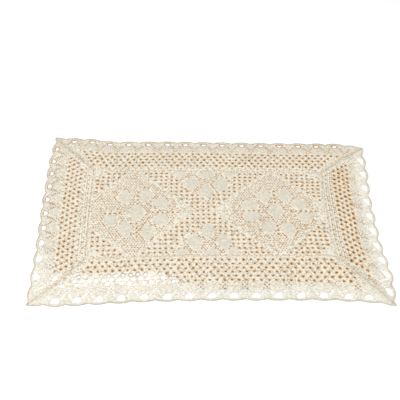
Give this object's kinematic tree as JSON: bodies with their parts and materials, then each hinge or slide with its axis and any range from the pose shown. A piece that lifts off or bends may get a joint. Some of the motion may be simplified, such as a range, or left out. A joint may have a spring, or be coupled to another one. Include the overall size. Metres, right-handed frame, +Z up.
{
  "type": "crochet lace table mat",
  "caption": "Oblong table mat of cream cotton lace: an openwork centre with woven petal motifs inside a scalloped, mitred lace edging; it lies on a table to dress and protect it.",
  "frame": {"origin": "on the table under the middle of the mat's outline", "axes": "+X along the mat's long side, to the right in the picture; +Y to the back; +Z up from the table"},
  "size_m": [0.4568, 0.3028, 0.0072],
  "materials": {
    "panel_cotton": "matt cream cotton thread, close woven petals and open ground",
    "edging_cotton": "matt cream cotton thread, open net with a twisted cord rim"
  },
  "bodies": {
    "root": {"centre_panel": "panel_cotton", "border_front": "edging_cotton", "border_back": "edging_cotton", "border_left": "edging_cotton", "border_right": "edging_cotton"}
  },
  "joints": []
}
